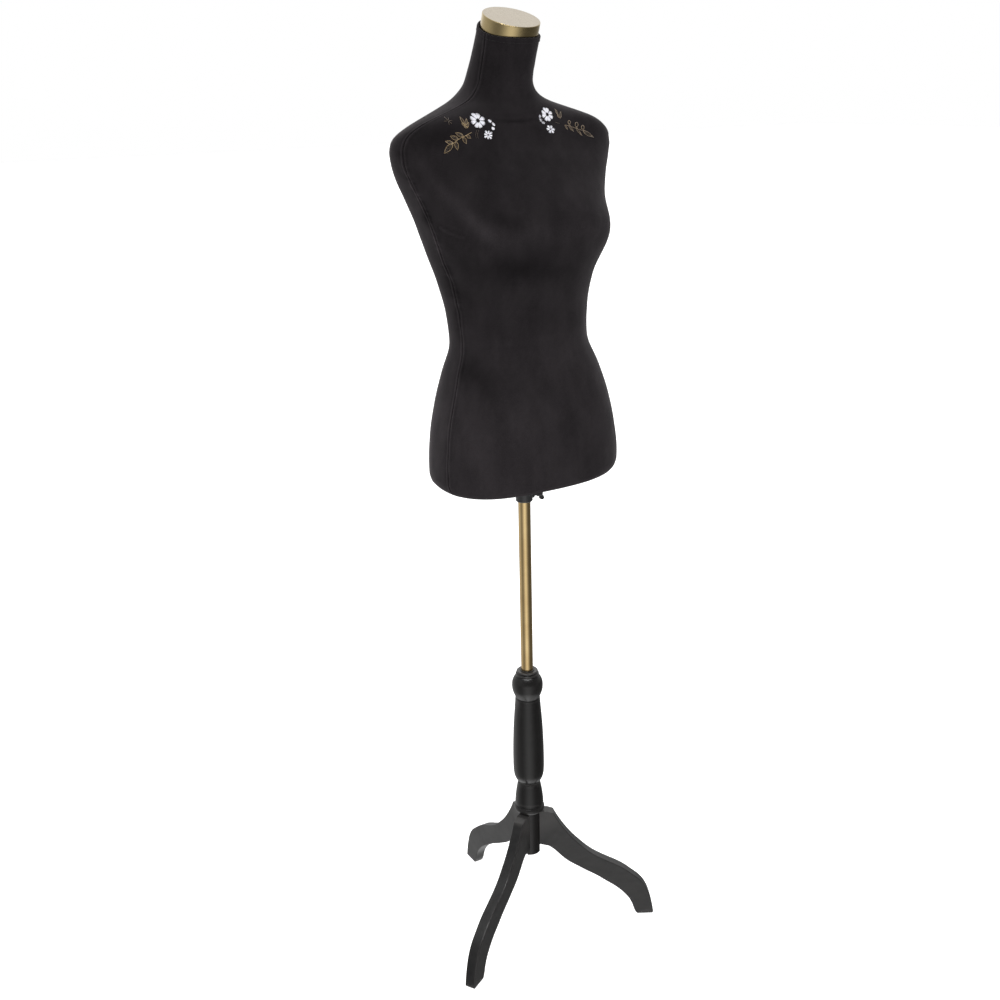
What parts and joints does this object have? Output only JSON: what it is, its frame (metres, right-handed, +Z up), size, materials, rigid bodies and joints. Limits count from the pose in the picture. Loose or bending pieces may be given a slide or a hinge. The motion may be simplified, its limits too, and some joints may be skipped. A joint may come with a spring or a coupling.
{
  "type": "dress form mannequin",
  "caption": "Female half-body dress form in black velvet on a brass-coloured pole and turned wooden tripod stand, with height and swivel adjustment held by a wing screw.",
  "frame": {"origin": "floor level, at the middle of the bounding box in plan; the pole's axis stands 55.9 mm in front of it", "axes": "+Z up along the pole, the figure faces -Y, +X is the figure's own left"},
  "size_m": [0.4246, 0.3682, 1.6702],
  "materials": {
    "black_wood": "satin",
    "raw_wood": "matte",
    "antique_brass": "satin",
    "steel": "satin",
    "black_metal": "satin",
    "black_plastic": "satin",
    "nylon": "satin",
    "foam": "matte",
    "velvet": "matte",
    "lining": "matte",
    "gold_cap": "satin",
    "pad": "matte"
  },
  "bodies": {
    "stand": {"leg_hub": "black_wood", "baluster": "black_wood", "leg_back": "black_wood", "leg_right": "black_wood", "leg_left": "black_wood", "foot_pads": "pad", "pole_ferrule": "black_plastic", "pole": "antique_brass", "pole_insert": "steel", "pole_top_plug": "black_plastic", "tie_rod": "steel", "sleeve_nut": "steel", "retaining_plate": "steel"},
    "bush": {"slide_bush": "nylon"},
    "torso": {"pole_socket": "black_metal", "socket_screws": "steel", "guide_tube": "steel", "base_board": "raw_wood", "bottom_cover": "lining", "torso_core": "foam", "cover_front": "velvet", "cover_back": "velvet", "neck_block": "raw_wood", "neck_cap": "gold_cap", "cap_dowel": "raw_wood"},
    "screw_shank": {"clamp_shank": "black_metal"},
    "screw_wing": {"clamp_wing": "black_metal"}
  },
  "joints": [
    {"name": "height_slide", "type": "slide", "parent": "stand", "child": "bush", "axis": [0, 0, 1], "range_m": [-0.28, 0.1]},
    {"name": "torso_swivel", "type": "hinge", "parent": "bush", "child": "torso", "pos_m": [0, -0.05595, 0.884], "axis": [0, 0, 1], "continuous": true},
    {"name": "clamp_travel", "type": "slide", "parent": "torso", "child": "screw_shank", "axis": [1, 0, 0], "range_m": [0, 0.0025]},
    {"name": "clamp_turn", "type": "hinge", "parent": "screw_shank", "child": "screw_wing", "pos_m": [0.03, -0.05595, 0.869], "axis": [1, 0, 0], "range_deg": [0, 720]}
  ],
  "couplings": [
    {"joint": "clamp_travel", "follows": "clamp_turn", "m_per_rad": 0.00015915}
  ]
}
